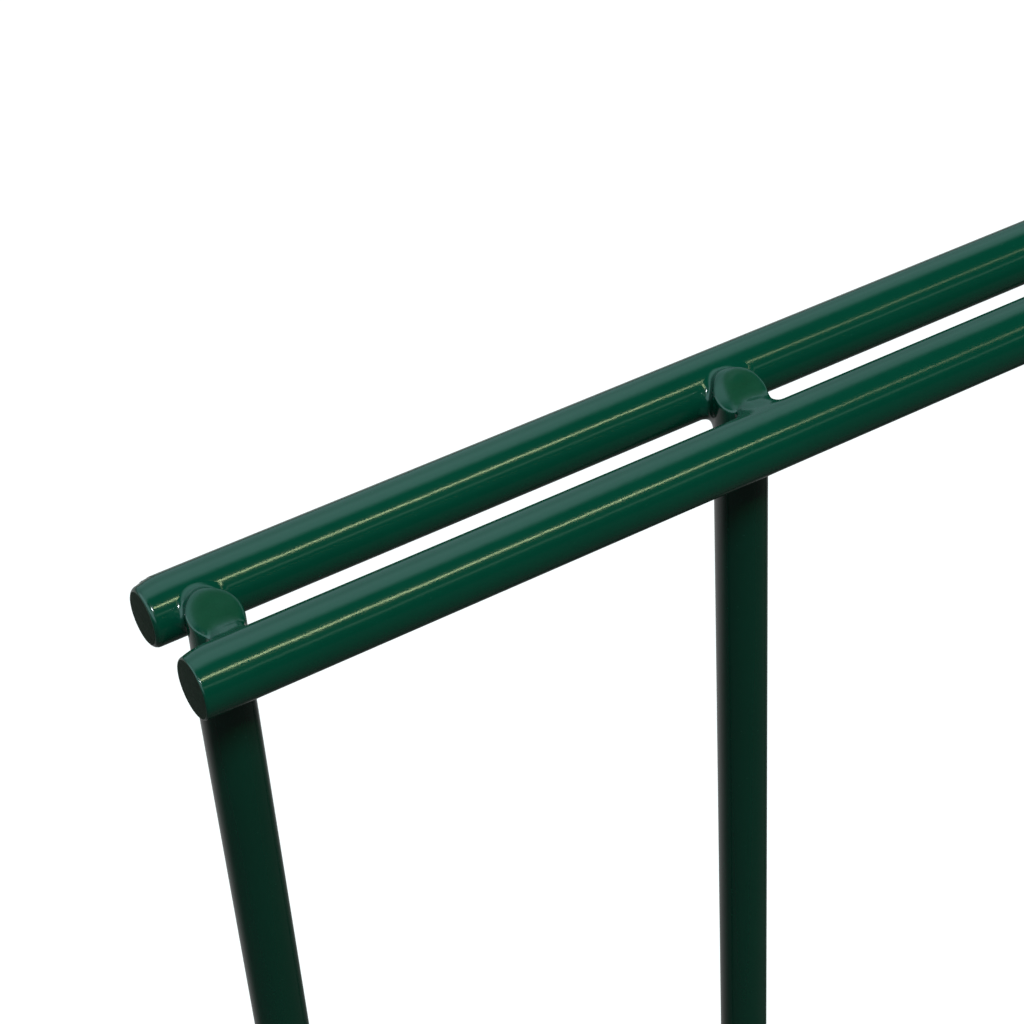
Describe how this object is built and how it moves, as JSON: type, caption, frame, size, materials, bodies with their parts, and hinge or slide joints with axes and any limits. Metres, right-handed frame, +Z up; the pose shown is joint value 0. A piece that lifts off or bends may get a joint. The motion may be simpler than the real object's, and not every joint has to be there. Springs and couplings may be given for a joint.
{
  "type": "welded mesh fence panel",
  "caption": "Twin-wire welded mesh fence panel: round uprights held between pairs of line wires, flush along the top, with short free prongs at the foot.",
  "frame": {"origin": "centre of the middle upright's foot face, on the panel's mid plane", "axes": "+X along the panel, +Y from the front line wires to the back ones, +Z up"},
  "size_m": [2.0088, 0.0152, 0.8328],
  "materials": {
    "green_coating": "glossy dark green powder coat over galvanised steel wire"
  },
  "bodies": {
    "root": {"upright_01": "green_coating", "upright_02": "green_coating", "upright_03": "green_coating", "upright_04": "green_coating", "upright_05": "green_coating", "upright_06": "green_coating", "upright_07": "green_coating", "upright_08": "green_coating", "upright_09": "green_coating", "upright_10": "green_coating", "upright_11": "green_coating", "upright_12": "green_coating", "upright_13": "green_coating", "upright_14": "green_coating", "upright_15": "green_coating", "upright_16": "green_coating", "upright_17": "green_coating", "upright_18": "green_coating", "upright_19": "green_coating", "upright_20": "green_coating", "upright_21": "green_coating", "upright_22": "green_coating", "upright_23": "green_coating", "upright_24": "green_coating", "upright_25": "green_coating", "upright_26": "green_coating", "upright_27": "green_coating", "upright_28": "green_coating", "upright_29": "green_coating", "upright_30": "green_coating", "upright_31": "green_coating", "upright_32": "green_coating", "upright_33": "green_coating", "upright_34": "green_coating", "upright_35": "green_coating", "upright_36": "green_coating", "upright_37": "green_coating", "upright_38": "green_coating", "upright_39": "green_coating", "upright_40": "green_coating", "upright_41": "green_coating", "bottom_front_wire": "green_coating", "bottom_back_wire": "green_coating", "lower_front_wire": "green_coating", "lower_back_wire": "green_coating", "middle_front_wire": "green_coating", "middle_back_wire": "green_coating", "upper_front_wire": "green_coating", "upper_back_wire": "green_coating", "top_front_wire": "green_coating", "top_back_wire": "green_coating"}
  },
  "joints": []
}
